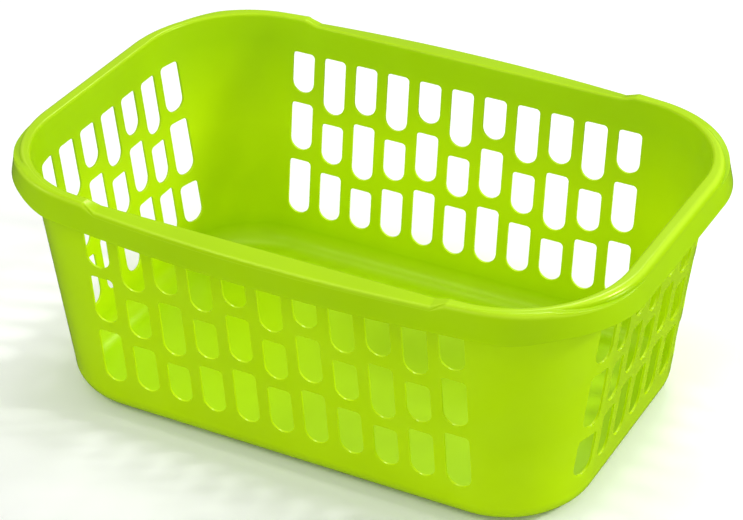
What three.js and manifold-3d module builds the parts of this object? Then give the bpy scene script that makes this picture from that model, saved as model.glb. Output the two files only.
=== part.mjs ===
// Rectangular storage basket moulded from one thin plastic sheet: solid floor,
// four slotted walls that lean outwards, four plain rounded corners and a
// rolled-out rim whose skirt hangs down outside the walls. The rim dips to a
// flat grip in the middle of both long sides.
// Millimetres, +X along the length, +Y across the width, +Z up.
// The origin is the centre of the flat underside of the floor.

import * as THREE from 'three';
import { ConvexGeometry } from 'three/addons/geometries/ConvexGeometry.js';
import { mergeVertices } from 'three/addons/utils/BufferGeometryUtils.js';
import Module from 'manifold-3d';

const wasm = await Module();
wasm.setup();

// Body, measured on the inner face at the level of the upper slot edges
const SLOT_LEVEL = 206;
const INNER_HALF_LENGTH = 275.4;
const INNER_HALF_WIDTH = 183.1;
const END_DRAFT = 0.118;
const SIDE_DRAFT = 0.117;
const WALL = 2.2;
const FLOOR = 2.5;
const CORNER_RADIUS_UPPER = 100;
const CORNER_RADIUS_LOWER = 79;
const FLOOR_FILLET = 23;

// Slots: flat top, round bottom, three lengths, one bridge width between rows
const SIDE_PITCH = 34;
const SIDE_SLOT_WIDTH = 23.1;
const END_PITCH = 34.3;
const END_SLOT_WIDTH = 23.5;
const SHORT_SLOT = 40.9;
const MIDDLE_SLOT = 48.8;
const TALL_SLOT = 56.4;
const BRIDGE = 10.9;
const SLOT_CORNER = 4;
const SIDE_ROWS = ['SLMLSLSLMLS', 'MSLSMSMSLSM', 'LMSMLMLMSML'];
const END_ROWS = ['MLSLSLM', 'LSMSMSL', 'SMLMLMS'];

// Rim: reach is measured outwards from the inner wall face at SLOT_LEVEL
const SKIRT_BOTTOM = 208.6;
const SKIRT_LIFT = 5.9;
const SKIRT_LIFT_START = 215;
const SKIRT_LIFT_RUN = 50;
const SKIRT_END_REACH = 23.4;
const SKIRT_END_LEAN = 0.254;
const SKIRT_SIDE_REACH = 24.3;
const SKIRT_CORNER_RADIUS = 110;
const SIDE_BOW_RADIUS = 1510;
const LEDGE_HEIGHT = 24.4;
const LEDGE_START = 252;
const LEDGE_RUN = 38;
const CREST_HEIGHT = 30.6;
const CREST_END_REACH = 18.6;
const CREST_SIDE_REACH = 25.6;
const CREST_CORNER_RADIUS = 125;
const CREST_END_ROUND = 7;
const RIM_ROUND = 3;
const GRIP_DROP = 5;
const GRIP_CROWN = 1.5;
const GRIP_HALF_LENGTH = 158;
const GRIP_RAMP = 13;

// Seams between the sections
const GAP = 0.3;
const SEAM_MARGIN = 7.5;
const PLATE_MARGIN = 1.5;
const END_FLAT_COLUMNS = 5;
const WALL_TOP_BELOW_GRIP = 7;

// Facets
const CORNER_STEPS = 10;
const BOW_STEPS = 8;
const FILLET_STEPS = 5;
const ROUND_STEPS = 3;
const CREST_ROUND_STEPS = 5;
const SLOT_ROUND_STEPS = 6;
const SLOT_CORNER_STEPS = 2;

const REACH = 1000;
const QUARTER = Math.PI / 2;
const GREEN = 0xa6d400;
const INNER_GREEN = 0x9fcb00;

// Levels that follow from the sizes above
const crestTop = SKIRT_BOTTOM + CREST_HEIGHT;
const gripTop = crestTop - GRIP_DROP;
const liftedBottom = SKIRT_BOTTOM + SKIRT_LIFT;
const ledgeLevel = SKIRT_BOTTOM + LEDGE_HEIGHT;
const wallTop = gripTop - WALL_TOP_BELOW_GRIP;
const baseTop = FLOOR_FILLET;
const slotLengths = { S: SHORT_SLOT, M: MIDDLE_SLOT, L: TALL_SLOT };
const sideSlotSpan = SIDE_PITCH * (SIDE_ROWS[0].length - 1) + SIDE_SLOT_WIDTH;
const sideSeam = sideSlotSpan / 2 + SEAM_MARGIN;
const endSeam = END_FLAT_COLUMNS / 2 * END_PITCH - GAP / 2;
const rimSideSeam = GRIP_HALF_LENGTH + GRIP_RAMP + SEAM_MARGIN;
const rimEndSeam = INNER_HALF_WIDTH + SKIRT_SIDE_REACH - SKIRT_CORNER_RADIUS;

// Plan outlines

function arc(cx, cy, radius, from, to, steps) {
  return new THREE.EllipseCurve(cx, cy, radius, radius, from, to, false, 0).getPoints(steps);
}

function roundedOutline(halfX, halfY, radius) {
  const corners = [[1, 1], [-1, 1], [-1, -1], [1, -1]];
  return corners.flatMap(([sx, sy], index) => {
    const cx = sx * (halfX - radius);
    const cy = sy * (halfY - radius);
    return arc(cx, cy, radius, index * QUARTER, (index + 1) * QUARTER, CORNER_STEPS);
  });
}

// Outline whose long sides are shallow arcs that run tangent into the corners
function bowedOutline(halfX, halfY, radius) {
  const run = halfX - radius;
  const inner = SIDE_BOW_RADIUS - radius;
  const bowY = halfY - SIDE_BOW_RADIUS;
  const cornerY = bowY + Math.sqrt(inner * inner - run * run);
  const lean = Math.asin(run / inner);
  return [1, -1].flatMap((side) => {
    const turn = side > 0 ? 0 : 2 * QUARTER;
    const near = turn + QUARTER - lean;
    const far = turn + QUARTER + lean;
    return [
      ...arc(side * run, side * cornerY, radius, turn, near, CORNER_STEPS),
      ...arc(0, side * bowY, SIDE_BOW_RADIUS, near, far, BOW_STEPS),
      ...arc(-side * run, side * cornerY, radius, far, turn + 2 * QUARTER, CORNER_STEPS),
    ];
  });
}

// Body outline at height z, moved outwards by offset from the inner face
function bodyOutline(z, offset) {
  const rise = z - SLOT_LEVEL;
  const spread = CORNER_RADIUS_UPPER - CORNER_RADIUS_LOWER;
  const radius = CORNER_RADIUS_LOWER + spread * z / SLOT_LEVEL + offset;
  const halfX = INNER_HALF_LENGTH + END_DRAFT * rise + offset;
  const halfY = INNER_HALF_WIDTH + SIDE_DRAFT * rise + offset;
  return roundedOutline(halfX, halfY, radius);
}

function rimOutline(endReach, sideReach, radius, grow) {
  const halfX = INNER_HALF_LENGTH + endReach + grow;
  const halfY = INNER_HALF_WIDTH + sideReach + grow;
  return bowedOutline(halfX, halfY, radius + grow);
}

// Solids

function toSolid(geometry) {
  const plain = geometry.clone();
  plain.deleteAttribute('normal');
  plain.deleteAttribute('uv');
  const merged = mergeVertices(plain, 1e-4);
  return new wasm.Manifold(new wasm.Mesh({
    numProp: 3,
    vertProperties: new Float32Array(merged.attributes.position.array),
    triVerts: new Uint32Array(merged.index.array),
  }));
}

// Convex solid through a stack of level outlines
function stack(rings) {
  const points = [];
  for (const { z, outline } of rings) {
    for (const point of outline) points.push(new THREE.Vector3(point.x, point.y, z));
  }
  return toSolid(new ConvexGeometry(points));
}

function box(x0, x1, y0, y1, z0, z1) {
  const geometry = new THREE.BoxGeometry(x1 - x0, y1 - y0, z1 - z0);
  geometry.translate((x0 + x1) / 2, (y0 + y1) / 2, (z0 + z1) / 2);
  return toSolid(geometry);
}

// Upright profile in the plane across Y or X, swept along that axis
function sweptAlongY(shape, y0, y1) {
  const geometry = new THREE.ExtrudeGeometry(shape, { depth: y1 - y0, bevelEnabled: false });
  geometry.rotateX(Math.PI / 2);
  geometry.translate(0, y1, 0);
  return toSolid(geometry);
}

function sweptAlongX(shape, x0, x1) {
  const geometry = new THREE.ExtrudeGeometry(shape, { depth: x1 - x0, bevelEnabled: false });
  geometry.rotateX(Math.PI / 2);
  geometry.rotateZ(Math.PI / 2);
  geometry.translate(x0, 0, 0);
  return toSolid(geometry);
}

// Inner and outer body forms with the rounded edge between floor and walls
function bodyForm(offset, floorLevel, topLevel) {
  const fillet = FLOOR_FILLET - WALL + offset;
  const edge = floorLevel + fillet;
  const rings = [{ z: topLevel, outline: bodyOutline(topLevel, offset) }];
  for (let step = 0; step <= FILLET_STEPS; step += 1) {
    const turn = step / FILLET_STEPS * QUARTER;
    const z = edge - fillet * Math.sin(turn);
    rings.push({ z, outline: bodyOutline(edge, offset - fillet * (1 - Math.cos(turn))) });
  }
  return stack(rings);
}

const bodyOuter = bodyForm(WALL, 0, crestTop);
const bodyInner = bodyForm(0, FLOOR, crestTop + CREST_HEIGHT);
const shell = bodyOuter.subtract(bodyInner);

// Slot cutters

function slotShape(centre, top, width, length) {
  const left = centre - width / 2 + SLOT_CORNER;
  const right = centre + width / 2 - SLOT_CORNER;
  const shoulder = top - SLOT_CORNER;
  const round = width / 2;
  return new THREE.Shape([
    ...arc(right, shoulder, SLOT_CORNER, 0, QUARTER, SLOT_CORNER_STEPS),
    ...arc(left, shoulder, SLOT_CORNER, QUARTER, 2 * QUARTER, SLOT_CORNER_STEPS),
    ...arc(centre, top - length + round, round, 2 * QUARTER, 4 * QUARTER, SLOT_ROUND_STEPS),
  ]);
}

function slotShapes(rows, pitch, width) {
  const shapes = [];
  const middle = (rows[0].length - 1) / 2;
  for (let column = 0; column < rows[0].length; column += 1) {
    let top = SLOT_LEVEL;
    for (const row of rows) {
      const length = slotLengths[row[column]];
      shapes.push(slotShape((column - middle) * pitch, top, width, length));
      top -= length + BRIDGE;
    }
  }
  return shapes;
}

function cutAll(solid, cutters) {
  return cutters.reduce((rest, cutter) => rest.subtract(cutter), solid);
}

// Body sections

const sideCutters = (y0, y1) => slotShapes(SIDE_ROWS, SIDE_PITCH, SIDE_SLOT_WIDTH)
  .map((shape) => sweptAlongY(shape, y0, y1));
const endCutters = (x0, x1) => slotShapes(END_ROWS, END_PITCH, END_SLOT_WIDTH)
  .map((shape) => sweptAlongX(shape, x0, x1));

// Divides a solid that is the same on both sides of both axes
function sections(solid, sideEnd, endEnd, low, high) {
  return {
    back: solid.intersect(box(-sideEnd, sideEnd, 0, REACH, low, high)),
    right: solid.intersect(box(0, REACH, -endEnd, endEnd, low, high)),
    corner: solid.intersect(box(sideEnd + GAP, REACH, endEnd + GAP, REACH, low, high)),
  };
}

const walls = sections(shell, sideSeam, endSeam, baseTop + GAP, wallTop);
const backWall = cutAll(walls.back, sideCutters(0, REACH));
const rightWall = cutAll(walls.right, endCutters(0, REACH));
const cornerWall = cutAll(walls.corner, endCutters(0, REACH));

// The floor plate ends just inside the rounded edge that carries the walls
function plateZone(grow) {
  const outline = bodyOutline(FLOOR_FILLET, WALL - FLOOR_FILLET - PLATE_MARGIN + grow);
  return stack([{ z: -FLOOR, outline }, { z: 2 * FLOOR, outline }]);
}

const floorPlate = shell.intersect(plateZone(0));
const base = sections(shell.subtract(plateZone(GAP)), sideSeam, endSeam, -FLOOR, baseTop);

// Rim sections

// Cutters that leave the upper inner edge of a rim form round
function innerEdgeCutters(level, offset) {
  const cutters = [];
  for (let step = 1; step <= ROUND_STEPS; step += 1) {
    const turn = step / (ROUND_STEPS + 1) * QUARTER;
    const drop = RIM_ROUND * (1 - Math.tan(turn / 2));
    const span = RIM_ROUND * (1 - Math.tan((QUARTER - turn) / 2));
    cutters.push(stack([
      { z: level - drop, outline: bodyOutline(level - drop, offset) },
      { z: level + drop, outline: bodyOutline(level - drop, offset + 2 * span) },
    ]));
  }
  return cutters;
}

// Rings of the upper outer edge, rounded over RIM_ROUND
function outerEdgeRings(level, outline) {
  const rings = [];
  for (let step = 0; step <= ROUND_STEPS + 1; step += 1) {
    const turn = step / (ROUND_STEPS + 1) * QUARTER;
    rings.push({
      z: level - RIM_ROUND * (1 - Math.sin(turn)),
      outline: outline(-RIM_ROUND * (1 - Math.cos(turn))),
    });
  }
  return rings;
}

// Prism that clears the crest above the grip, with a ramp at each end
function gripCutter(inset) {
  const level = gripTop - inset - RIM_ROUND;
  const slope = GRIP_RAMP / GRIP_DROP;
  const low = GRIP_HALF_LENGTH - slope * RIM_ROUND;
  const high = low + slope * (crestTop + CREST_HEIGHT - level);
  return sweptAlongY(new THREE.Shape([
    new THREE.Vector2(-low, level),
    new THREE.Vector2(low, level),
    new THREE.Vector2(high, crestTop + CREST_HEIGHT),
    new THREE.Vector2(-high, crestTop + CREST_HEIGHT),
  ]), -REACH, REACH);
}

// Prisms that clear the skirt below its lifted edge at both ends
function liftCutters(inset) {
  return [-1, 1].map((side) => sweptAlongY(new THREE.Shape([
    new THREE.Vector2(side * SKIRT_LIFT_START, SKIRT_BOTTOM - inset),
    new THREE.Vector2(side * (SKIRT_LIFT_START + SKIRT_LIFT_RUN), liftedBottom - inset),
    new THREE.Vector2(side * REACH, liftedBottom - inset),
    new THREE.Vector2(side * REACH, 0),
    new THREE.Vector2(side * SKIRT_LIFT_START, 0),
  ]), -REACH, REACH));
}

// Depth that a rounded edge has drawn back at a depth below its top
function roundedBack(radius, depth) {
  const rise = Math.max(radius - depth, 0);
  return radius - Math.sqrt(radius * radius - rise * rise);
}

// Rim up to the crest, leaning out at the ends going down. Its upper outer
// edge is rounder on the ends than on the sides.
function crestForm(cornerRadius, inset) {
  const footReach = SKIRT_END_REACH + SKIRT_END_LEAN * SKIRT_LIFT;
  const foot = rimOutline(footReach, SKIRT_SIDE_REACH, cornerRadius, -inset);
  const rings = [{ z: SKIRT_BOTTOM - inset, outline: foot }];
  for (let step = 0; step <= CREST_ROUND_STEPS; step += 1) {
    const depth = CREST_END_ROUND * (1 - Math.sin(step / CREST_ROUND_STEPS * QUARTER));
    const endBack = roundedBack(CREST_END_ROUND, depth);
    const sideBack = roundedBack(RIM_ROUND, depth);
    const radius = cornerRadius - (endBack + sideBack) / 2;
    rings.push({
      z: crestTop - inset - depth,
      outline: rimOutline(CREST_END_REACH - endBack, CREST_SIDE_REACH - sideBack, radius, -inset),
    });
  }
  return stack(rings);
}

// Prisms that clear the ledge round the corners, which falls towards the ends
function ledgeCutters(inset) {
  return [-1, 1].map((side) => sweptAlongY(new THREE.Shape([
    new THREE.Vector2(side * LEDGE_START, crestTop - inset),
    new THREE.Vector2(side * (LEDGE_START + LEDGE_RUN), ledgeLevel - inset),
    new THREE.Vector2(side * REACH, ledgeLevel - inset),
    new THREE.Vector2(side * REACH, crestTop + CREST_HEIGHT),
    new THREE.Vector2(side * LEDGE_START, crestTop + CREST_HEIGHT),
  ]), -REACH, REACH));
}

// Rim filled down to the skirt edge and drawn in by inset on every face
function rimForm(inset) {
  const skirt = cutAll(crestForm(SKIRT_CORNER_RADIUS, inset), ledgeCutters(inset));
  const crest = skirt.add(crestForm(CREST_CORNER_RADIUS, inset));
  const gripFoot = gripTop - inset - 2 * RIM_ROUND;
  const gripSide = (SKIRT_SIDE_REACH + CREST_SIDE_REACH) / 2;
  const gripOutline = (grow) => rimOutline(CREST_END_REACH, gripSide, CREST_CORNER_RADIUS, grow - inset);
  const crownLevel = gripTop + GRIP_CROWN - inset;
  const rampEnd = GRIP_HALF_LENGTH + GRIP_RAMP;
  const grip = stack([
    { z: gripFoot, outline: gripOutline(-GAP) },
    ...outerEdgeRings(gripTop - inset, gripOutline),
    { z: crownLevel, outline: bodyOutline(crownLevel, RIM_ROUND + inset) },
  ]).intersect(box(-rampEnd, rampEnd, -REACH, REACH, gripFoot, crestTop));
  const filled = cutAll(crest, innerEdgeCutters(crestTop - inset, inset))
    .subtract(gripCutter(inset))
    .add(cutAll(grip, innerEdgeCutters(crownLevel, inset)));
  return cutAll(filled, liftCutters(inset));
}

// The wall piece inside the rim starts one seam above the wall sections
const upperZone = box(-REACH, REACH, -REACH, REACH, wallTop + GAP, REACH);
const rimHollow = rimForm(WALL).subtract(bodyOuter.intersect(upperZone));
const rimShell = rimForm(0).subtract(rimHollow).subtract(bodyInner);

const rimTop = crestTop + WALL;
const rimBase = SKIRT_BOTTOM - WALL;
const rims = sections(rimShell, rimSideSeam, rimEndSeam, rimBase, rimTop);

// Scene graph

const mirrorX = (solid) => solid.mirror([1, 0, 0]);
const mirrorY = (solid) => solid.mirror([0, 1, 0]);

function toMesh(name, solid, colour, roughness) {
  const { vertProperties, triVerts } = solid.getMesh();
  const geometry = new THREE.BufferGeometry();
  geometry.setAttribute('position', new THREE.BufferAttribute(vertProperties, 3));
  geometry.setIndex(new THREE.BufferAttribute(triVerts, 1));
  geometry.computeVertexNormals();
  const material = new THREE.MeshStandardMaterial({ color: colour, roughness, metalness: 0 });
  const mesh = new THREE.Mesh(geometry, material);
  mesh.name = name;
  return mesh;
}

// Adds a solid and its copies mirrored to the other sides
function addPair(group, name, solid, sides, mirrored, colour, roughness) {
  group.add(toMesh(name + sides[0], solid, colour, roughness));
  group.add(toMesh(name + sides[1], mirrored(solid), colour, roughness));
}

function addRing(group, name, ring, colour, roughness) {
  addPair(group, name, ring.back, ['back', 'front'], mirrorY, colour, roughness);
  addPair(group, name, ring.right, ['right', 'left'], mirrorX, colour, roughness);
}

function addCorners(group, name, solid, colour, roughness) {
  addPair(group, name + 'back_', solid, ['right', 'left'], mirrorX, colour, roughness);
  addPair(group, name + 'front_', mirrorY(solid), ['right', 'left'], mirrorX, colour, roughness);
}

const floor = new THREE.Group();
floor.add(toMesh('floor_plate', floorPlate, INNER_GREEN, 0.35));
addRing(floor, 'base_edge_', base, GREEN, 0.4);
addCorners(floor, 'base_corner_', base.corner, GREEN, 0.4);

const body = new THREE.Group();
addRing(body, 'wall_', { back: backWall, right: rightWall }, GREEN, 0.4);
addCorners(body, 'corner_', cornerWall, GREEN, 0.4);

const rim = new THREE.Group();
addPair(rim, 'rim_grip_', rims.back, ['back', 'front'], mirrorY, GREEN, 0.3);
addPair(rim, 'rim_end_', rims.right, ['right', 'left'], mirrorX, GREEN, 0.3);
addCorners(rim, 'rim_corner_', rims.corner, GREEN, 0.3);

const basket = new THREE.Group();
basket.name = 'storage_basket';
basket.add(floor, body, rim);

export default basket;
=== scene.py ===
"""Looks of a one-piece moulded storage basket, built section by section.

Lengths in the classes are millimetres in the part's own frame: +X along the
length, +Y across the width, +Z up from the underside of the floor. The finish
and the studio are in metres. Angles are radians where nothing else is said.
"""

import logging
import math
from dataclasses import dataclass, replace
from enum import Enum
from typing import Callable, Iterable

import bmesh
import bpy
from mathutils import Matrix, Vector


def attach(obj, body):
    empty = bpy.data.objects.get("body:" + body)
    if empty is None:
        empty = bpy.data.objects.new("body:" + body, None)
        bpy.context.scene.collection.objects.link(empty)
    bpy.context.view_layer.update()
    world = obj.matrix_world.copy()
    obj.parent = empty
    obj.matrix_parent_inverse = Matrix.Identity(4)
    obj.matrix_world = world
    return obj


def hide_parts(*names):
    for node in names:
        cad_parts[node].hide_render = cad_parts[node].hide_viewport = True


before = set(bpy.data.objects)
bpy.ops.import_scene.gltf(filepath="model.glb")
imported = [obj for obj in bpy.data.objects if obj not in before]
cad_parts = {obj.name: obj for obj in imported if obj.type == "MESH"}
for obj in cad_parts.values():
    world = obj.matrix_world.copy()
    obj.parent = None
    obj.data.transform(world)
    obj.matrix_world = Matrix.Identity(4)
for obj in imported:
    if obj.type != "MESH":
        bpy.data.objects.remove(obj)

MM = 0.001
TINY_ANGLE = 1e-9
SAME_PLACE = 1e-5
HALVINGS = 40
SHARP_CREASE = 0.8
SLOT = "lime_plastic"
OUTWARD = "outward"
# Layer with the share of painted highlight on edges.
EDGE_HIGHLIGHT = "edge_highlight_paint"

Pair = tuple[float, float]
Place = tuple[float, float, float]
Slot = tuple[float, float, float]
Colour = tuple[float, float, float, float]
ColourStop = tuple[float, Colour]
Tree = bpy.types.NodeTree
Socket = bpy.types.NodeSocket
MeshVert = bmesh.types.BMVert
MeshEdge = bmesh.types.BMEdge

log = logging.getLogger("basket")


class SlotLength(Enum):
    """The three slot lengths, in millimetres."""

    SHORT = 40.9
    MIDDLE = 48.8
    TALL = 56.4


class Quarter(Enum):
    """How a section made for the back or right side is turned into its twins."""

    BACK_RIGHT = (1, 1)
    BACK_LEFT = (-1, 1)
    FRONT_RIGHT = (1, -1)
    FRONT_LEFT = (-1, -1)


@dataclass(frozen=True)
class Outline:
    """Level plan outline, the same on both sides of both axes.

    A bow of 0 gives straight long sides, otherwise it is their arc radius.
    """

    half_length: float
    half_width: float
    radius: float
    bow: float = 0.0

    @property
    def run(self) -> float:
        """X of the corner arc's centre."""
        return self.half_length - self.radius

    @property
    def corner_y(self) -> float:
        """Y of the corner arc's centre.

        Returns:
            The Y at which the arc meets the side, bowed or straight.
        """
        if not self.bow:
            return self.half_width - self.radius
        inner = self.bow - self.radius
        return self.half_width - self.bow + math.sqrt(inner**2 - self.run**2)

    def side_y(self, x: float) -> float:
        """Y of the long side or corner above x.

        Args:
            x: Distance from the middle along the length.

        Returns:
            The outline's positive Y at that x.
        """
        x = min(abs(x), self.half_length)
        if self.bow and x <= self.bow * self.run / (self.bow - self.radius):
            return self.half_width - self.bow + math.sqrt(self.bow**2 - x**2)
        if x <= self.run:
            return self.half_width
        return self.corner_y + math.sqrt(max(self.radius**2 - (x - self.run) ** 2, 0.0))

    def end_x(self, y: float) -> float:
        """X of the short side or corner beside y.

        Args:
            y: Distance from the middle across the width.

        Returns:
            The outline's positive X at that y.
        """
        y = abs(y)
        if y <= self.corner_y:
            return self.half_length
        return self.run + math.sqrt(max(self.radius**2 - (y - self.corner_y) ** 2, 0.0))

    def on_ray(self, start: Pair, angle: float) -> Pair:
        """Point where a ray from inside the corner meets the outline.

        Args:
            start: Plan point the ray leaves from.
            angle: Direction from +X towards +Y, in radians.

        Returns:
            Plan point on the outline.
        """
        if angle <= TINY_ANGLE:
            return self.end_x(start[1]), start[1]
        if angle >= math.pi / 2 - TINY_ANGLE:
            return start[0], self.side_y(start[0])
        low, high = 0.0, 2 * self.radius
        for _ in range(HALVINGS):
            reach = (low + high) / 2
            x = start[0] + reach * math.cos(angle)
            y = start[1] + reach * math.sin(angle)
            if x < self.half_length and y < self.side_y(x):
                low = reach
            else:
                high = reach
        return start[0] + low * math.cos(angle), start[1] + low * math.sin(angle)

    def grown(self, amount: float) -> "Outline":
        """The outline moved outwards by amount."""
        return Outline(
            self.half_length + amount,
            self.half_width + amount,
            self.radius + amount,
            self.bow + amount if self.bow else 0.0,
        )

    def towards(self, other: "Outline", share: float) -> "Outline":
        """The outline part of the way to another of the same kind."""
        return Outline(
            self.half_length + (other.half_length - self.half_length) * share,
            self.half_width + (other.half_width - self.half_width) * share,
            self.radius + (other.radius - self.radius) * share,
            self.bow + (other.bow - self.bow) * share,
        )


@dataclass(frozen=True)
class BodyShape:
    """Drafted body that every section is cut from.

    A bend is the distance from the middle at which a wall's flat plate starts
    to bend.
    """

    slot_level: float = 206.0
    half_length: float = 275.4
    half_width: float = 183.1
    end_draft: float = 0.118
    side_draft: float = 0.117
    wall: float = 2.2
    floor: float = 2.5
    corner_upper: float = 100.0
    corner_lower: float = 79.0
    fillet: float = 23.0
    side_seam: float = 189.2
    end_seam: float = 85.75
    corner_from: float = 122.3
    side_bend: float = 172.0
    end_bend: float = 79.5
    corner_bend: float = 87.5
    tray_seam: float = 23.15
    rim_seam: float = 227.35

    def outline(self, level: float, offset: float = 0.0) -> Outline:
        """Outline of the inner wall face at a level, moved outwards by offset.

        Args:
            level: Height above the underside.
            offset: Distance outwards from the inner face.

        Returns:
            The outline.
        """
        rise = level - self.slot_level
        spread = self.corner_upper - self.corner_lower
        return Outline(
            self.half_length + self.end_draft * rise + offset,
            self.half_width + self.side_draft * rise + offset,
            self.corner_lower + spread * level / self.slot_level + offset,
        )

    @property
    def corner_start(self) -> Pair:
        """Plan point that the plain part of a corner is spread round."""
        return self.side_seam, self.corner_from


class MixKind(Enum):
    """What a Mix node mixes: data type, numbers of its two inputs and its output."""

    NUMBER = ("FLOAT", 2, 3, 0)
    COLOUR = ("RGBA", 6, 7, 2)


@dataclass(frozen=True)
class Noise:
    """One noise pattern, which as relief also has a depth and a strength."""

    scale: float
    layers: float
    depth: float = 0.0
    strength: float = 0.0

    def read(self, tree: Tree, place: Socket) -> Socket:
        """Adds the pattern to a material.

        Args:
            tree: Node tree to add to.
            place: Socket with the object coordinates.

        Returns:
            Socket with the pattern.
        """
        node = tree.nodes.new("ShaderNodeTexNoise")
        node.inputs["Scale"].default_value = self.scale
        node.inputs["Detail"].default_value = self.layers
        tree.links.new(place, node.inputs["Vector"])
        return node.outputs["Fac"]

    def relief(self, tree: Tree, place: Socket) -> bpy.types.Node:
        """Adds the pattern to a material as relief.

        Args:
            tree: Node tree to add to.
            place: Socket with the object coordinates.

        Returns:
            The bump node.
        """
        node = tree.nodes.new("ShaderNodeBump")
        node.inputs["Distance"].default_value = self.depth
        node.inputs["Strength"].default_value = self.strength
        tree.links.new(self.read(tree, place), node.inputs["Height"])
        return node


@dataclass(frozen=True)
class MouldedPlastic:
    """Lime plastic, glossy outside and softer inside, with a fine grain.

    Both faces carry painted light and shade that change with height, and edges carry a painted
    highlight.
    """

    # Painted light and shade inside: darker floor, lighter lower walls where light comes through,
    # darker band behind the rim.
    inner: tuple[ColourStop, ...] = (
        (0.000, (0.410, 0.660, 0.0006, 1.0)),
        (0.035, (0.560, 0.790, 0.0006, 1.0)),
        (0.130, (0.590, 0.825, 0.0006, 1.0)),
        (0.215, (0.405, 0.655, 0.0006, 1.0)),
    )
    # Painted light and shade outside: lighter low down, darker skirt, lighter rim top.
    outer: tuple[ColourStop, ...] = (
        (0.000, (0.480, 0.745, 0.0006, 1.0)),
        (0.100, (0.425, 0.690, 0.0006, 1.0)),
        (0.203, (0.410, 0.675, 0.0006, 1.0)),
        (0.212, (0.350, 0.600, 0.0006, 1.0)),
        (0.233, (0.355, 0.605, 0.0006, 1.0)),
        (0.239, (0.395, 0.650, 0.0006, 1.0)),
    )
    # Painted highlight colour: a pale line on the rim's outer top edge and round the slots' cut
    # edges.
    painted_edge_highlight: Colour = (0.620, 0.900, 0.0500, 1.0)
    shine: Colour = (0.800, 1.000, 0.300, 1.0)
    gloss: float = 0.50
    refraction: float = 1.49
    inner_roughness: Pair = (0.29, 0.37)
    outer_roughness: Pair = (0.12, 0.21)
    haze: Noise = Noise(26.0, 5.0)
    haze_read: Pair = (0.3, 0.7)
    flow: Noise = Noise(9.0, 3.0)
    flow_read: Pair = (0.35, 0.65)
    flow_shade: Pair = (0.965, 1.03)
    grain: Noise = Noise(900.0, 2.0, depth=0.00008, strength=0.08)
    ripple: Noise = Noise(14.0, 1.0, depth=0.0009, strength=0.12)

    def material(self) -> bpy.types.Material:
        """Builds the node material.

        Returns:
            The material, which reads object coordinates and the two attributes.
        """
        made = bpy.data.materials.new(SLOT)
        made.use_nodes = True
        tree = made.node_tree
        links = tree.links
        shader = tree.nodes["Principled BSDF"]
        place = tree.nodes.new("ShaderNodeTexCoord").outputs["Object"]
        outward = self._attribute(tree, OUTWARD)
        edge = self._attribute(tree, EDGE_HIGHLIGHT)

        # Both faces' base colours carry painted light and shade by height.
        inner = self._painted_light_by_height(tree, place, self.inner)
        outer = self._painted_light_by_height(tree, place, self.outer)
        base = self._mix(tree, MixKind.COLOUR, outward, inner, outer)
        flow = self.flow.read(tree, place)
        toned = tree.nodes.new("ShaderNodeVectorMath")
        toned.operation = "SCALE"
        links.new(base, toned.inputs[0])
        shade = self._range(tree, flow, self.flow_read, self.flow_shade)
        links.new(shade, toned.inputs["Scale"])
        # Painted edge highlight mixed over the base colour.
        colour = self._mix(tree, MixKind.COLOUR, edge, toned.outputs[0], self.painted_edge_highlight)
        links.new(colour, shader.inputs["Base Color"])

        haze = self.haze.read(tree, place)
        rough_inner = self._range(tree, haze, self.haze_read, self.inner_roughness)
        rough_outer = self._range(tree, haze, self.haze_read, self.outer_roughness)
        rough = self._mix(tree, MixKind.NUMBER, outward, rough_inner, rough_outer)
        links.new(rough, shader.inputs["Roughness"])

        fine = self.grain.relief(tree, place)
        soft = self.ripple.relief(tree, place)
        links.new(fine.outputs["Normal"], soft.inputs["Normal"])
        links.new(soft.outputs["Normal"], shader.inputs["Normal"])

        shader.inputs["IOR"].default_value = self.refraction
        shader.inputs["Specular IOR Level"].default_value = self.gloss
        shader.inputs["Specular Tint"].default_value = self.shine
        return made

    def _painted_light_by_height(
        self, tree: Tree, place: Socket, colours: tuple[ColourStop, ...]
    ) -> Socket:
        """Colour with painted light and shade by height, standing in for light through the thin
        wall and shade behind and under the rim.

        Args:
            tree: Node tree to add to.
            place: Socket with the object coordinates.
            colours: Height and colour of each stop, from the lowest.

        Returns:
            Socket with the colour.
        """
        apart = tree.nodes.new("ShaderNodeSeparateXYZ")
        tree.links.new(place, apart.inputs[0])
        top = colours[-1][0]
        height = self._range(tree, apart.outputs["Z"], (0.0, top), (0.0, 1.0))
        ramp = tree.nodes.new("ShaderNodeValToRGB")
        stops = ramp.color_ramp.elements
        for level, _ in colours[1:-1]:
            stops.new(level / top)
        for stop, (_, colour) in zip(stops, colours):
            stop.color = colour
        tree.links.new(height, ramp.inputs["Fac"])
        return ramp.outputs["Color"]

    @staticmethod
    def _attribute(tree: Tree, name: str) -> Socket:
        """Reads one of the mesh's own attributes.

        Args:
            tree: Node tree to add to.
            name: Name of the attribute.

        Returns:
            Socket with its value.
        """
        node = tree.nodes.new("ShaderNodeAttribute")
        node.attribute_name = name
        return node.outputs["Fac"]

    @staticmethod
    def _mix(
        tree: Tree, kind: MixKind, share: Socket, first: Socket, second: Socket | Colour
    ) -> Socket:
        """Mixes two numbers or two colours.

        Args:
            tree: Node tree to add to.
            kind: Whether they are numbers or colours.
            share: Socket with the share of the second one.
            first: Socket read at a share of 0.
            second: Colour or socket at a share of 1.

        Returns:
            Socket with the mixed value.
        """
        node = tree.nodes.new("ShaderNodeMix")
        node.data_type, first_input, second_input, result = kind.value
        tree.links.new(share, node.inputs["Factor"])
        tree.links.new(first, node.inputs[first_input])
        if isinstance(second, tuple):
            node.inputs[second_input].default_value = second
        else:
            tree.links.new(second, node.inputs[second_input])
        return node.outputs[result]

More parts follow.
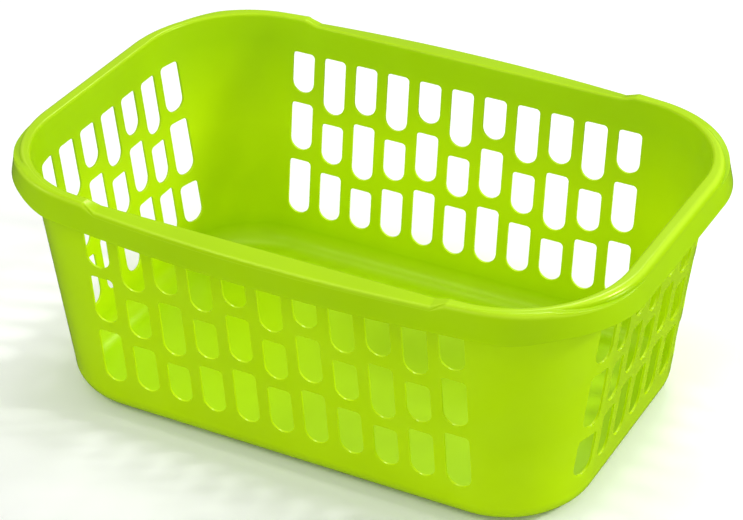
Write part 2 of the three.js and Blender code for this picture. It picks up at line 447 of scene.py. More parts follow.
    @staticmethod
    def _range(tree: Tree, value: Socket, read: Pair, result: Pair) -> Socket:
        """Maps a value from one range to another.

        Args:
            tree: Node tree to add to.
            value: Socket to map.
            read: Start and end of the range read.
            result: What they are mapped to.

        Returns:
            Socket with the mapped value.
        """
        node = tree.nodes.new("ShaderNodeMapRange")
        node.inputs["From Min"].default_value, node.inputs["From Max"].default_value = read
        node.inputs["To Min"].default_value, node.inputs["To Max"].default_value = result
        tree.links.new(value, node.inputs["Value"])
        return node.outputs["Result"]


class Section:
    """One section of the moulding, as a closed mesh ready to ride on the part."""

    def __init__(self, *cad_nodes: str) -> None:
        """Starts an empty mesh with the two surface layers.

        Args:
            cad_nodes: The part's nodes that the piece stands for, the one that names it first.
        """
        self.name = "shell_" + cad_nodes[0]
        self.cad_nodes = cad_nodes
        self.mesh = bmesh.new()
        self.outward = self.mesh.verts.layers.float.new(OUTWARD)
        # Share of painted edge highlight.
        self.edge = self.mesh.verts.layers.float.new(EDGE_HIGHLIGHT)

    def place(self, where: Callable[[Vector], Vector]) -> None:
        """Moves every vertex to its place on the basket.

        Args:
            where: Gives the place, in millimetres, of a point of the mesh as made.
        """
        for vert in self.mesh.verts:
            vert.co = where(vert.co) * MM

    def close_ends(self) -> None:
        """Fills the holes at the ends of a mesh that was made ring by ring."""
        ends = [edge for edge in self.mesh.edges if len(edge.link_faces) == 1]
        bmesh.ops.holes_fill(self.mesh, edges=ends, sides=0)

    def finish(self, quarter: Quarter, finish: bpy.types.Material) -> bpy.types.Object:
        """Turns the mesh into a riding piece.

        Args:
            quarter: Side of the basket that the piece goes to.
            finish: Its material.

        Returns:
            The finished object.
        """
        mesh = self.mesh
        along, across = quarter.value
        bmesh.ops.scale(mesh, vec=(along, across, 1), verts=mesh.verts)
        bmesh.ops.recalc_face_normals(mesh, faces=mesh.faces)
        for face in mesh.faces:
            face.smooth = True
        for edge in mesh.edges:
            edge.smooth = len(edge.link_faces) == 2 and edge.calc_face_angle() < SHARP_CREASE
        data = bpy.data.meshes.new(self.name)
        mesh.to_mesh(data)
        open_edges = sum(len(edge.link_faces) != 2 for edge in mesh.edges)
        mesh.free()
        piece = bpy.data.objects.new(self.name, data)
        bpy.context.scene.collection.objects.link(piece)
        data.materials.append(finish)
        weighted = piece.modifiers.new("even_normals", "WEIGHTED_NORMAL")
        weighted.keep_sharp = True
        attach(piece, "root")
        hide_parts(*self.cad_nodes)
        log.info("%s: %d faces, %d open edges", self.name, len(data.polygons), open_edges)
        return piece


@dataclass(frozen=True)
class SlotPattern:
    """Rows of slots with flat tops and round bottoms on one kind of wall."""

    pitch: float
    width: float
    rows: tuple[str, ...]
    top: float = 206.0
    bridge: float = 10.9
    corner: float = 4.0
    corner_steps: int = 6
    round_steps: int = 18

    def slots(self, columns: range) -> list[Slot]:
        """The slots of some columns.

        Args:
            columns: Numbers of the columns, from 0.

        Returns:
            Slots as (centre, top, length).
        """
        lengths = {"S": SlotLength.SHORT, "M": SlotLength.MIDDLE, "L": SlotLength.TALL}
        middle = (len(self.rows[0]) - 1) / 2
        made = []
        for column in columns:
            top = self.top
            for row in self.rows:
                length = lengths[row[column]].value
                made.append(((column - middle) * self.pitch, top, length))
                top -= length + self.bridge
        return made

    def ring(self, slot: Slot, grow: float) -> list[Pair]:
        """Points round one slot.

        Args:
            slot: Centre, top and length.
            grow: Distance outside the slot's edge.

        Returns:
            Points in order, as (along, up).
        """
        centre, top, length = slot
        half = self.width / 2 + grow
        low = top - length + self.width / 2
        inset = self.width / 2 - self.corner
        radius = self.corner + grow
        points = []
        for side, start in ((1, 0.0), (-1, math.pi / 2)):
            for step in range(self.corner_steps + 1):
                turn = start + step / self.corner_steps * math.pi / 2
                points.append((
                    centre + side * inset + radius * math.cos(turn),
                    top - self.corner + radius * math.sin(turn),
                ))
        for step in range(self.round_steps + 1):
            turn = math.pi + step / self.round_steps * math.pi
            points.append((centre + half * math.cos(turn), low + half * math.sin(turn)))
        return points


@dataclass(frozen=True)
class SlottedWall:
    """A leaning wall with rows of slots, cut as a flat plate and then bent."""

    name: str
    body: BodyShape
    pattern: SlotPattern
    columns: range
    span: Pair
    bend_from: float
    along_x: bool = False
    rim_of_slot: float = 1.2
    edge_round: float = 0.3
    # Share of painted highlight on the slots' cut edges.
    edge_highlight_share: float = 0.05
    edge_segments: int = 2
    bend_step: float = 2.0
    least_step: float = 0.4
    level_step: float = 25.0
    cut_snap: float = 0.03
    cut_angle: float = 1.0
    border_touch: float = 0.01

    def build(self) -> Section:
        """Makes the wall.

        Returns:
            The section, in place on the back or right side.
        """
        section = Section(self.name)
        self._cut_plate(section.mesh)
        self._thicken(section)
        section.place(self._bent)
        return section

    def _cut_plate(self, mesh: bmesh.types.BMesh) -> None:
        """Fills a flat plate round the slots, each slot inside its own ring.

        Args:
            mesh: Mesh to fill.
        """
        body, (low, high) = self.body, self.span
        border = self._loop(mesh, [
            (low, body.tray_seam), (high, body.tray_seam),
            (high, body.rim_seam), (low, body.rim_seam),
        ])
        outer_edges = list(border)
        for slot in self.pattern.slots(self.columns):
            inner = self._loop(mesh, self.pattern.ring(slot, 0.0))
            outer = self._loop(mesh, self.pattern.ring(slot, self.rim_of_slot))
            bmesh.ops.bridge_loops(mesh, edges=inner + outer)
            outer_edges += outer
        bmesh.ops.triangle_fill(mesh, use_beauty=True, edges=outer_edges, normal=(0, -1, 0))
        for place, normal in self._bends():
            bmesh.ops.bisect_plane(
                mesh, geom=mesh.verts[:] + mesh.edges[:] + mesh.faces[:],
                dist=self.cut_snap, plane_co=place, plane_no=normal,
            )

    def _bends(self) -> Iterable[tuple[Place, Place]]:
        """Planes that cut the plate where it bends and along its height.

        Returns:
            A point on each plane and the plane's normal, one plane after the other.
        """
        low, high = self.span
        reach = self.bend_from
        while reach < high - self.least_step:
            for along in {reach, -reach}:
                if low < along:
                    yield (along, 0, 0), (1, 0, 0)
            reach += self.bend_step
        level = self.body.tray_seam + self.level_step
        while level < self.body.rim_seam:
            yield (0, 0, level), (0, 0, 1)
            level += self.level_step

    @staticmethod
    def _loop(mesh: bmesh.types.BMesh, points: list[Pair]) -> list[MeshEdge]:
        """A closed loop of edges through the points.

        Args:
            mesh: Mesh to add to.
            points: Points as (along, up).

        Returns:
            The loop's edges.
        """
        verts = bmesh.ops.create_circle(mesh, segments=len(points), radius=1)["verts"]
        for vert, (along, up) in zip(verts, points):
            vert.co = (along, 0, up)
        return list({edge for vert in verts for edge in vert.link_edges})

    def _thicken(self, section: Section) -> None:
        """Gives the plate its thickness, rounds the slots' edges and paints a highlight on them.

        Args:
            section: Section whose mesh is the flat plate.
        """
        mesh = section.mesh
        made = bmesh.ops.extrude_face_region(mesh, geom=mesh.faces[:])["geom"]
        moved = [v for v in made if isinstance(v, MeshVert)]
        bmesh.ops.translate(mesh, vec=(0, self.body.wall, 0), verts=moved)
        bmesh.ops.recalc_face_normals(mesh, faces=mesh.faces)
        sharp = [
            edge for edge in mesh.edges
            if edge.calc_face_angle(0) > self.cut_angle
            and not all(map(self._on_border, edge.verts))
        ]
        # Painted highlight on the slots' cut edges.
        for edge in sharp:
            for vert in edge.verts:
                vert[section.edge] = self.edge_highlight_share
        bmesh.ops.bevel(
            mesh, geom=sharp, offset=self.edge_round, offset_type="OFFSET",
            segments=self.edge_segments, profile=0.5, affect="EDGES", material=-1,
            clamp_overlap=False,
        )
        for vert in mesh.verts:
            vert[section.outward] = min(max(vert.co.y / self.body.wall, 0.0), 1.0)

    def _on_border(self, vert: MeshVert) -> bool:
        """Whether a vertex lies on one of the plate's four outer edges."""
        return (
            min(abs(vert.co.x - end) for end in self.span) < self.border_touch
            or abs(vert.co.z - self.body.tray_seam) < self.border_touch
            or abs(vert.co.z - self.body.rim_seam) < self.border_touch
        )

    def _bent(self, flat: Vector) -> Vector:
        """Bends the flat plate onto the body.

        Args:
            flat: Point of the plate.

        Returns:
            Its place on the basket.
        """
        outline = self.body.outline(flat.z, flat.y)
        if self.along_x:
            return Vector((flat.x, outline.side_y(flat.x), flat.z))
        return Vector((outline.end_x(flat.x), flat.x, flat.z))


@dataclass(frozen=True)
class CornerWall(SlottedWall):
    """A wall corner with the end wall's last slots, then a plain rounded part."""

    plain_length: float = 130.0

    def _bent(self, flat: Vector) -> Vector:
        """Bends the flat plate onto the body.

        Args:
            flat: Point of the plate.

        Returns:
            Its place on the basket.
        """
        body = self.body
        if flat.x <= body.corner_from:
            return super()._bent(flat)
        turn = (flat.x - body.corner_from) / self.plain_length * math.pi / 2
        outline = body.outline(flat.z, flat.y)
        x, y = outline.on_ray(body.corner_start, min(turn, math.pi / 2))
        return Vector((x, y, flat.z))


@dataclass(frozen=True)
class FloorTray:
    """Flat floor with the rounded edge that turns up into the walls.

    It replaces all of its nodes of the part, the one that names it first.
    """

    nodes: tuple[str, ...]
    body: BodyShape
    side_steps: int = 54
    corner_steps: int = 44
    end_steps: int = 44
    fillet_steps: int = 24

    def build(self) -> Section:
        """Makes the tray.

        Returns:
            The section, in place.
        """
        section = Section(*self.nodes)
        mesh = section.mesh
        count = 2 * (self.side_steps + self.end_steps) + 4 * self.corner_steps
        verts = bmesh.ops.create_circle(mesh, segments=count, radius=1)["verts"]
        ring = list({edge for vert in verts for edge in vert.link_edges})
        for number, (outline, level, outward) in enumerate(self._rings()):
            if number:
                grown = bmesh.ops.extrude_edge_only(mesh, edges=ring)["geom"]
                verts = self._in_order(verts, grown)
                ring = [e for e in grown if isinstance(e, MeshEdge)]
            for vert, (x, y) in zip(verts, self._stations(outline)):
                vert.co = (x, y, level)
                vert[section.outward] = outward
        section.close_ends()
        section.place(lambda point: point)
        return section

    @staticmethod
    def _in_order(before: list[MeshVert], grown: list[MeshVert | MeshEdge]) -> list[MeshVert]:
        """New ring's vertices in the order of the ring that they grew from.

        Args:
            before: The last ring's vertices, in order.
            grown: What the extrusion made.

        Returns:
            The new vertices, in the same order.
        """
        fresh = {v for v in grown if isinstance(v, MeshVert)}
        return [
            next(e.other_vert(v) for e in v.link_edges if e.other_vert(v) in fresh)
            for v in before
        ]

    def _rings(self) -> list[tuple[Outline, float, float]]:
        """Rings from the underside, up the outer edge, over and down inside.

        Returns:
            Each ring's outline, level and share of the outer finish.
        """
        body = self.body
        inner_fillet = body.fillet - body.wall
        rings = []
        for step in range(self.fillet_steps + 1):
            turn = (1 - step / self.fillet_steps) * math.pi / 2
            inset = body.fillet * (1 - math.cos(turn))
            outline = body.outline(body.fillet, body.wall - inset)
            rings.append((outline, body.fillet * (1 - math.sin(turn)), 1.0))
        rings.append((body.outline(body.tray_seam, body.wall), body.tray_seam, 1.0))
        rings.append((body.outline(body.tray_seam), body.tray_seam, 0.0))
        edge = body.floor + inner_fillet
        for step in range(1, self.fillet_steps + 1):
            turn = step / self.fillet_steps * math.pi / 2
            inset = inner_fillet * (1 - math.cos(turn))
            rings.append((
                body.outline(edge, -inset), edge - inner_fillet * math.sin(turn), 0.0))
        return rings

    def _stations(self, outline: Outline) -> list[Pair]:
        """Plan points round an outline, from the right side anticlockwise.

        Args:
            outline: The outline.

        Returns:
            Points as (x, y).
        """
        corner = self.body.corner_start
        ends = [(2 * i / self.end_steps - 1) * corner[1] for i in range(self.end_steps)]
        sides = [(1 - 2 * i / self.side_steps) * corner[0] for i in range(self.side_steps)]
        turns = [
            outline.on_ray(corner, i / self.corner_steps * math.pi / 2)
            for i in range(self.corner_steps)
        ]
        back = [
            outline.on_ray(corner, (1 - i / self.corner_steps) * math.pi / 2)
            for i in range(self.corner_steps)
        ]
        points = [(outline.end_x(y), y) for y in ends]
        points += turns
        points += [(x, outline.side_y(x)) for x in sides]
        points += [(-x, y) for x, y in back]
        points += [(-outline.end_x(y), -y) for y in ends]
        points += [(-x, -y) for x, y in turns]
        points += [(-x, -outline.side_y(x)) for x in sides]
        points += [(x, -y) for x, y in back]
        return points


@dataclass(frozen=True)
class RimRing:
    """One line of the rim's section, swept round the basket.

    Its shares run from 0 to 1: of the outer finish, of the skirt's lift and of painted edge
    highlight.
    """

    outline: Outline
    level: float
    outward: float
    lift: float = 0.0
    # Share of painted edge highlight.
    painted_edge_highlight: float = 0.0


@dataclass(frozen=True)
class RimShape:
    """Section of the rolled-out rim, at the crest and at the grips.

    The ledge is the narrow strip along the crest's outer side round the
    corners, and the skirt is the rim's hanging outer face.
    """

    body: BodyShape
    half_length: float = 294.0
    crest_half_width: float = 208.62
    grip_half_width: float = 208.4
    skirt_half_width: float = 208.5
    corner: float = 110.0
    crest_corner: float = 125.0
    bow: float = 1510.0
    side_seam: float = 178.65
    end_seam: float = 97.55
    crest_top: float = 239.19
    grip_top: float = 234.2
    grip_crown: float = 1.5
    grip_step: float = 0.1
    inner_round: float = 3.0
    side_round: float = 3.4
    end_round: float = 7.0
    ledge: float = 233.0
    ledge_from: float = 252.0
    ledge_run: float = 38.0
    least_ledge: float = 0.1
    ledge_shares: Pair = (0.12, 0.9)
    ledge_fall: float = 0.02
    ledge_lip: float = 0.25
    skirt_bottom: float = 208.6
    skirt_out: float = 4.75
    skirt_in: float = 1.1
    skirt_lift: float = 5.9
    lift_from: float = 215.0
    lift_run: float = 50.0
    edge_round: float = 1.05
    # Painted highlight on the outer top edge's rounding, strongest part way round it.
    edge_highlight_share: float = 0.4
    highlight_peak: float = 0.35
    top_finish: float = 0.6
    finish_rise: float = 0.13
    ramp_from: float = 158.0
    ramp_run: float = 13.0
    ramp_blend: float = 0.05
    ramp_margin: float = 2.0
    steps_round: int = 10
    ledge_steps: int = 8
    skirt_steps: int = 5
    lip_steps: int = 12
    hidden_steps: int = 3

    @property
    def crest_edge(self) -> Outline:
        """Outer face of the crest, outside the ledge."""
        return Outline(self.half_length, self.crest_half_width, self.corner, self.bow)

    def crest(self, x: float) -> list[RimRing]:
        """Section where the rim is high.

        Args:
            x: Distance along the length, which sets how deep the ledge lies.

        Returns:
            Rings in order round the section.
        """
        top, wall, turn = self.crest_top, self.body.wall, self.end_round
        outer = self.crest_edge
        inner = replace(outer, radius=self.crest_corner)
        sunk = min(max((abs(x) - self.ledge_from) / self.ledge_run, 0.0), 1.0)
        drop = max((top - self.ledge) * sunk, self.least_ledge)
        rings = self._outer_edge(inner, top, turn, 0.0, drop, self.steps_round)
        foot, lip = rings[-1].outline, self._edge_ring(outer, top, turn, drop)
        for share in self.ledge_shares:
            level = lip.level - self.ledge_fall * share
            rings.append(RimRing(foot.towards(lip.outline, share), level, 1.0))
        rings += self._outer_edge(outer, top, turn, drop + self.ledge_lip, turn, self.ledge_steps)
        hidden = self._outer_edge(
            inner.grown(-wall), top - wall, turn, 0.0, turn, self.steps_round)
        return self._closed(rings, hidden, top - turn, top)

    def grip(self) -> list[RimRing]:
        """Section where the rim is lowered and its top nearly flat.

        Returns:
            As many rings as the crest has, in the same order.
        """
        side = Outline(self.half_length, self.grip_half_width, self.corner, self.bow)
        top, wall, turn = self.grip_top, self.body.wall, self.side_round
        rings = self._outer_edge(side, top, turn, 0.0, turn, self.steps_round)
        ledge_rings = len(self.ledge_shares) + self.ledge_steps + 1
        for step in range(ledge_rings):
            rings.append(RimRing(side, top - turn - self.grip_step * (step + 1), 1.0))
        hidden = self._outer_edge(
            side.grown(-wall), top - wall, turn, 0.0, turn, self.steps_round)
        shoulder = top - turn - self.grip_step * (ledge_rings + 1)
        return self._closed(rings, hidden, shoulder, top + self.grip_crown)

    def _outer_edge(
        self, outline: Outline, top: float, end_round: float, start: float, stop: float, steps: int
    ) -> list[RimRing]:
        """Rounded edge between a level top and the outer face, with a painted highlight along it.

        Args:
            outline: The outer face's outline.
            top: Level of the top.
            end_round: Radius on the ends; the long sides have their own.
            start: Depth of the first ring below the top.
            stop: Depth of the last ring.
            steps: Number of rings after the first.

        Returns:
            Rings from the upper one down.
        """
        low = math.acos(max(1 - start / end_round, 0.0))
        high = math.acos(max(1 - stop / end_round, 0.0))
        rings = []
        for step in range(steps + 1):
            share = step / steps
            depth = end_round * (1 - math.cos(low + (high - low) * share))
            near_peak = max(1 - abs(share - self.highlight_peak) / self.highlight_peak, 0.0)
            ring = self._edge_ring(outline, top, end_round, depth)
            rings.append(replace(ring, painted_edge_highlight=self.edge_highlight_share * near_peak))
        return rings

    def _edge_ring(self, outline: Outline, top: float, end_round: float, depth: float) -> RimRing:
        """Ring of a rounded outer edge at a depth below its top.

        Args:
            outline: The outer face's outline.
            top: Level of the top.
            end_round: Radius on the ends; the long sides have their own.
            depth: The depth.

        Returns:
            The ring.
        """
        end_back = self._drawn_back(end_round, depth)
        side_back = self._drawn_back(self.side_round, depth)
        drawn = Outline(
            outline.half_length - end_back,
            outline.half_width - side_back,
            outline.radius - (end_back + side_back) / 2,
            outline.bow,
        )
        outward = min(self.top_finish + self.finish_rise * depth, 1.0)
        return RimRing(drawn, top - depth, outward)

    @staticmethod
    def _drawn_back(radius: float, depth: float) -> float:
        """How far a rounded edge lies inside its face at a depth below the top."""
        rise = max(radius - depth, 0.0)
        return radius - math.sqrt(radius**2 - rise**2)

    def _closed(
        self, outer: list[RimRing], under: list[RimRing], shoulder: float, inner_top: float
    ) -> list[RimRing]:
        """Adds the inner face, the skirt and the hidden inner side.

        Args:
            outer: Rings from the outer end of the top down to the skirt.
            under: Rings of the hidden side of the outer edge, from the top down.
            shoulder: Level that the skirt starts from.
            inner_top: Level of the inner end of the top.

        Returns:
            All rings in order round the section.
        """
        body, wall, turn = self.body, self.body.wall, self.inner_round
        start = body.outline(inner_top - turn)
        rings = [
            RimRing(body.outline(body.rim_seam), body.rim_seam, 0.0),
            RimRing(body.outline(inner_top - 2 * turn), inner_top - 2 * turn, 0.0),
        ]
        for step in range(self.steps_round + 1):
            angle = step / self.steps_round * math.pi / 2
            rings.append(RimRing(
                start.grown(turn * (1 - math.cos(angle))),
                inner_top - turn * (1 - math.sin(angle)),
                self.top_finish * step / self.steps_round,
            ))
        rings += outer
        rings += [
            self._skirt(shoulder, (step + 1) / self.skirt_steps, 0.0, self.edge_round)
            for step in range(self.skirt_steps)
        ]
        rings += self._skirt_edge(shoulder)
        rings += [
            self._skirt(shoulder - wall, 1 - step / self.hidden_steps, wall, self.edge_round)
            for step in range(self.hidden_steps)
        ]
        rings += reversed(under)
        hidden = body.outline(inner_top - turn, wall)
        for step in range(self.hidden_steps + 1):
            angle = (1 - step / self.hidden_steps) * math.pi / 2
            rings.append(RimRing(
                hidden.grown(turn * (1 - math.cos(angle))),
                inner_top - wall - turn * (1 - math.sin(angle)),
                1.0,
            ))
        rings.append(RimRing(body.outline(body.rim_seam, wall), body.rim_seam, 1.0))
        return rings

    def _skirt(self, shoulder: float, share: float, inset: float, above: float) -> RimRing:
        """Ring of the skirt's leaning face.

        Args:
            shoulder: Level that the skirt starts from.
            share: How far down the skirt, from 0 to 1.
            inset: Distance inside the outer face.
            above: Distance kept above the lower edge.

        Returns:
            The ring.
        """
        bottom = self.skirt_bottom + above
        outline = Outline(
            self.half_length + self.skirt_out * share,
            self.skirt_half_width - self.skirt_in * share,
            self.corner,
            self.bow,
        )
        level = shoulder + (bottom - shoulder) * share
        return RimRing(outline.grown(-inset), level, 1.0, share)

    def _skirt_edge(self, shoulder: float) -> list[RimRing]:
        """Fully rounded lower edge of the skirt.

        Args:
            shoulder: Level that the skirt starts from.

        Returns:
            Rings from the outer face, round the edge, to the hidden face.
        """
        half, wall = self.edge_round, self.body.wall
        rings = []
        for step in range(1, self.lip_steps):
            angle = step / self.lip_steps * math.pi
            inset = wall / 2 * (1 - math.cos(angle))
            rings.append(self._skirt(shoulder, 1.0, inset, half * (1 - math.sin(angle))))
        return rings

    def lift(self, x: float) -> float:
        """Height that the skirt's lower edge is raised by at x."""
        share = min(max((abs(x) - self.lift_from) / self.lift_run, 0.0), 1.0)
        return self.skirt_lift * share * share * (3 - 2 * share)

    def height_share(self, x: float) -> float:
        """Share of the crest's section at a distance along the long side.

        Args:
            x: The distance from the middle.

        Returns:
            0 on the grip, 1 past the ramp.
        """
        share = (abs(x) - self.ramp_from) / self.ramp_run
        soft = self.ramp_blend
        if share > 0.5:
            return 1 - self._ramp_foot(1 - share, soft)
        return self._ramp_foot(share, soft)

    @staticmethod
    def _ramp_foot(share: float, soft: float) -> float:
        """Straight rise whose foot is rounded over a soft stretch on each side.

        Args:
            share: How far along the rise.
            soft: Length of the stretch, on the same scale.

        Returns:
            Height reached, from 0 to 1.
        """
        if share <= -soft:
            return 0.0
        return share if share >= soft else (share + soft) ** 2 / (4 * soft)


class RimRun(Enum):
    """The three kinds of stretch of the rim: start of the name, steps along it."""

    GRIP = ("rim_grip_", 160)
    END = ("rim_end_", 60)
    CORNER = ("rim_corner_", 60)


@dataclass(frozen=True)
class RimSection:
    """One stretch of the rim, on a side, an end or a corner."""

    where: str
    shape: RimShape
    run: RimRun

    def build(self) -> Section:
        """Makes the stretch as a closed tube of the rim's section.

        Returns:
            The section, in place at the back, right or back right.
        """
        kind, steps = self.run.value
        section = Section(kind + self.where)
        mesh = section.mesh
        stations = [self._station(step / steps) for step in range(steps + 1)]
        around = len(stations[0])
        bmesh.ops.create_grid(mesh, x_segments=around, y_segments=steps, size=1)
        for vert in mesh.verts:
            number = round((vert.co.x + 1) / 2 * around) % around
            step = round((vert.co.y + 1) / 2 * steps)
            vert.co, vert[section.outward], vert[section.edge] = stations[step][number]
        bmesh.ops.remove_doubles(mesh, verts=mesh.verts, dist=SAME_PLACE)
        section.close_ends()
        section.place(lambda point: point)
        return section

    def _station(self, along: float) -> list[tuple[Vector, float, float]]:
        """One line round the section, at a share of the stretch's length.

        Args:
            along: The share.

        Returns:
            Points in order, each with its shares of the outer finish and of painted edge
            highlight.
        """
        shape = self.shape
        if self.run is RimRun.GRIP:
            return self._grip_station(self._along_grip(2 * along - 1))
        corner = (shape.side_seam, shape.end_seam)
        if self.run is RimRun.END:
            y = (2 * along - 1) * shape.end_seam
            rings = shape.crest(shape.ledge_from + shape.ledge_run)
            plan = [(ring.outline.end_x(y), y) for ring in rings]
        else:
            turn = along * math.pi / 2
            rings = shape.crest(shape.crest_edge.on_ray(corner, turn)[0])
            plan = [ring.outline.on_ray(corner, turn) for ring in rings]
        return [
            (Vector((x, y, ring.level + ring.lift * shape.lift(x))), ring.outward, ring.painted_edge_highlight)
            for ring, (x, y) in zip(rings, plan)
        ]

    def _grip_station(self, x: float) -> list[tuple[Vector, float, float]]:
        """One line round the section of a long side, between grip and crest.

        Args:
            x: Distance along the length.

        Returns:
            Points in order, each with its shares of the outer finish and of painted edge
            highlight.
        """
        share = self.shape.height_share(x)
        points = []
        for low, high in zip(self.shape.grip(), self.shape.crest(x)):
            lower = Vector((x, low.outline.side_y(x), low.level))
            upper = Vector((x, high.outline.side_y(x), high.level))
            points.append((lower.lerp(upper, share), high.outward, high.painted_edge_highlight))
        return points

    def _along_grip(self, share: float) -> float:
        """Spreads the stations so that half of them lie close together on the ramps.

        Args:
            share: Share of the half length of the stretch, from -1 to 1.

        Returns:
            X of the station.
        """
        shape = self.shape
        start = shape.ramp_from - shape.ramp_margin
        side = math.copysign(1.0, share)
        part = abs(share)
        if part < 0.5:
            return side * part / 0.5 * start
        return side * (start + (part - 0.5) / 0.5 * (shape.side_seam - start))


@dataclass(frozen=True)
class Softbox:
    """A rectangular lamp, sized in metres, with its power in watts."""

    name: str
    place: Place
    aim: Place
    size: Pair
    power: float

    def build(self) -> None:
        """Adds the lamp to the scene, turned to face its aim."""
        data = bpy.data.lights.new(self.name, "AREA")
        data.shape = "RECTANGLE"
        data.size, data.size_y = self.size
        data.energy = self.power
        lamp = bpy.data.objects.new(self.name, data)
        bpy.context.scene.collection.objects.link(lamp)
        lamp.location = self.place
        facing = Vector(self.aim) - Vector(self.place)
        lamp.rotation_euler = facing.to_track_quat("-Z", "Y").to_euler()


@dataclass(frozen=True)
class Studio:
    """Pale floor, soft lights and the camera at the photo's viewing angle.

    Lens and sensor are in millimetres, tilt and yaw in degrees. The sky's gloss
    is its strength in reflections, from the horizon to straight above.
    """

    lens: float = 123.24
    sensor: float = 36.0
    shift: Pair = (-0.0508, -0.0008)
    place: Place = (0.9162, -1.7089, 1.3313)
    tilt: float = 58.056
    yaw: float = 27.207
    sky: float = 0.62
    gloss: Pair = (0.06, 0.62)
    white: Colour = (1.0, 1.0, 1.0, 1.0)
    paper: Colour = (0.96, 0.96, 0.96, 1.0)
    paper_roughness: float = 0.8
    paper_gloss: float = 0.1
    paper_reach: float = 6.0
    paper_level: float = -0.0002
    softboxes: tuple[Softbox, ...] = (
        Softbox("top", (0.0, 0.0, 2.2), (0.0, 0.1, 0.0), (2.4, 0.35), 10.5),
        Softbox("right", (2.2, 0.9, 1.7), (0.0, 0.0, 0.12), (0.45, 0.45), 34.0),
        Softbox("right_low", (2.6, 0.7, 0.2), (0.3, 0.0, 0.12), (0.7, 0.5), 7.0),
        Softbox("left", (-2.4, -1.2, 0.9), (0.0, 0.0, 0.12), (0.9, 0.9), 5.0),
        Softbox("front", (-0.4, -2.6, 0.45), (0.0, 0.0, 0.10), (0.7, 0.7), 4.5),
        Softbox("front_left", (-0.95, -1.35, 1.9), (0.0, -0.2, 0.24), (1.0, 0.4), 6.5),
        Softbox("back", (-0.2, 1.9, 2.4), (0.0, -0.1, 0.0), (0.9, 0.5), 16.0),
    )

    def build(self) -> None:
        """Adds the camera, the floor and the lights."""
        self._camera()
        self._floor()
        for softbox in self.softboxes:
            softbox.build()
        self._sky()
        bpy.context.scene.view_settings.view_transform = "Standard"

    def _sky(self) -> None:
        """Adds the even white light, weaker in the gloss, most of all from below."""
        world = bpy.data.worlds.new("studio")
        world.use_nodes = True
        nodes, links = world.node_tree.nodes, world.node_tree.links
        toward = nodes.new("ShaderNodeSeparateXYZ")
        links.new(nodes.new("ShaderNodeTexCoord").outputs["Generated"], toward.inputs[0])
        gloss = nodes.new("ShaderNodeMapRange")
        gloss.inputs["To Min"].default_value, gloss.inputs["To Max"].default_value = self.gloss
        links.new(toward.outputs["Z"], gloss.inputs["Value"])
        strength = nodes.new("ShaderNodeMapRange")
        strength.inputs["To Min"].default_value = self.sky
        links.new(gloss.outputs["Result"], strength.inputs["To Max"])
        path = nodes.new("ShaderNodeLightPath")
        links.new(path.outputs["Is Glossy Ray"], strength.inputs["Value"])
        links.new(strength.outputs["Result"], nodes["Background"].inputs["Strength"])
        nodes["Background"].inputs["Color"].default_value = self.white
        bpy.context.scene.world = world

    def _camera(self) -> None:
        """Sets the scene's camera."""
        data = bpy.data.cameras.new("camera")
        data.sensor_fit = "HORIZONTAL"
        data.sensor_width = self.sensor
        data.lens = self.lens
        data.shift_x, data.shift_y = self.shift
        camera = bpy.data.objects.new("camera", data)
        bpy.context.scene.collection.objects.link(camera)
        camera.location = self.place
        camera.rotation_euler = (math.radians(self.tilt), 0, math.radians(self.yaw))
        bpy.context.scene.camera = camera

    def _floor(self) -> None:
        """Adds the plain floor, which stays out of the basket's gloss."""
        mesh = bmesh.new()
        bmesh.ops.create_grid(mesh, x_segments=1, y_segments=1, size=self.paper_reach)
        data = bpy.data.meshes.new("studio_floor")
        mesh.to_mesh(data)
        mesh.free()
        floor = bpy.data.objects.new("studio_floor", data)
        bpy.context.scene.collection.objects.link(floor)
        paint = bpy.data.materials.new("studio_floor")
        paint.use_nodes = True
        shader = paint.node_tree.nodes["Principled BSDF"]
        shader.inputs["Base Color"].default_value = self.paper
        shader.inputs["Roughness"].default_value = self.paper_roughness
        shader.inputs["Specular IOR Level"].default_value = self.paper_gloss
        data.materials.append(paint)
        floor.location.z = self.paper_level
        floor.visible_glossy = False


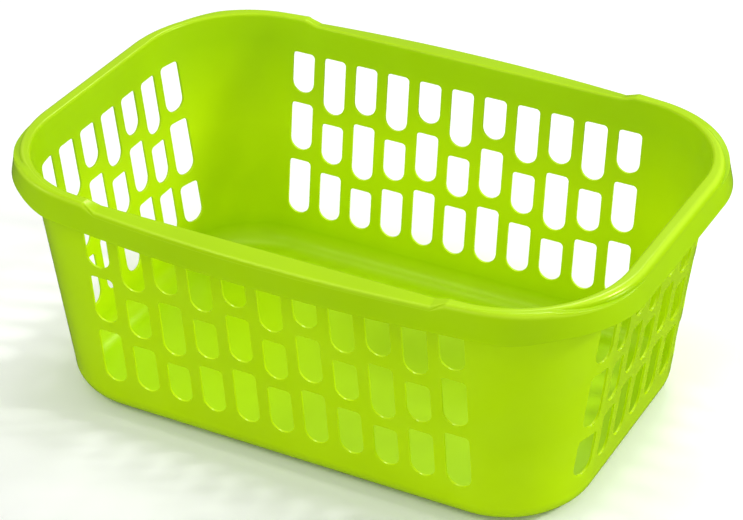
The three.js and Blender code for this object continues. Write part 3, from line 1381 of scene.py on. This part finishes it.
SIDE_SLOTS = SlotPattern(34.0, 23.1, ("SLMLSLSLMLS", "MSLSMSMSLSM", "LMSMLMLMSML"))
END_SLOTS = SlotPattern(34.3, 23.5, ("MLSLSLM", "LSMSMSL", "SMLMLMS"))
SIDE_COLUMNS = range(11)
END_COLUMNS = range(1, 6)
CORNER_COLUMNS = range(6, 7)
SIDES = {"back": Quarter.BACK_RIGHT, "front": Quarter.FRONT_RIGHT}
ENDS = {"right": Quarter.BACK_RIGHT, "left": Quarter.BACK_LEFT}
CORNERS = {
    "back_right": Quarter.BACK_RIGHT,
    "back_left": Quarter.BACK_LEFT,
    "front_right": Quarter.FRONT_RIGHT,
    "front_left": Quarter.FRONT_LEFT,
}
FLOOR_NODES = (
    "floor_plate",
    *("base_edge_" + side for side in (*SIDES, *ENDS)),
    *("base_corner_" + corner for corner in CORNERS),
)


def main() -> None:
    """Builds the basket and the studio."""
    logging.basicConfig(level=logging.INFO)
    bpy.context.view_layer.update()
    plastic = MouldedPlastic().material()
    body = BodyShape()
    rim = RimShape(body)
    side_span = (-body.side_seam, body.side_seam)
    end_span = (-body.end_seam, body.end_seam)
    corner_span = (body.end_seam, body.corner_from + CornerWall.plain_length)

    FloorTray(FLOOR_NODES, body).build().finish(Quarter.BACK_RIGHT, plastic)
    for side, quarter in SIDES.items():
        wall = SlottedWall(
            "wall_" + side, body, SIDE_SLOTS, SIDE_COLUMNS, side_span, body.side_bend,
            along_x=True,
        )
        wall.build().finish(quarter, plastic)
    for end, quarter in ENDS.items():
        wall = SlottedWall(
            "wall_" + end, body, END_SLOTS, END_COLUMNS, end_span, body.end_bend)
        wall.build().finish(quarter, plastic)
    for corner, quarter in CORNERS.items():
        wall = CornerWall(
            "corner_" + corner, body, END_SLOTS, CORNER_COLUMNS, corner_span, body.corner_bend)
        wall.build().finish(quarter, plastic)
        RimSection(corner, rim, RimRun.CORNER).build().finish(quarter, plastic)
    for side, quarter in SIDES.items():
        RimSection(side, rim, RimRun.GRIP).build().finish(quarter, plastic)
    for end, quarter in ENDS.items():
        RimSection(end, rim, RimRun.END).build().finish(quarter, plastic)
    Studio().build()
    bpy.context.view_layer.update()


if __name__ == "__main__":
    main()
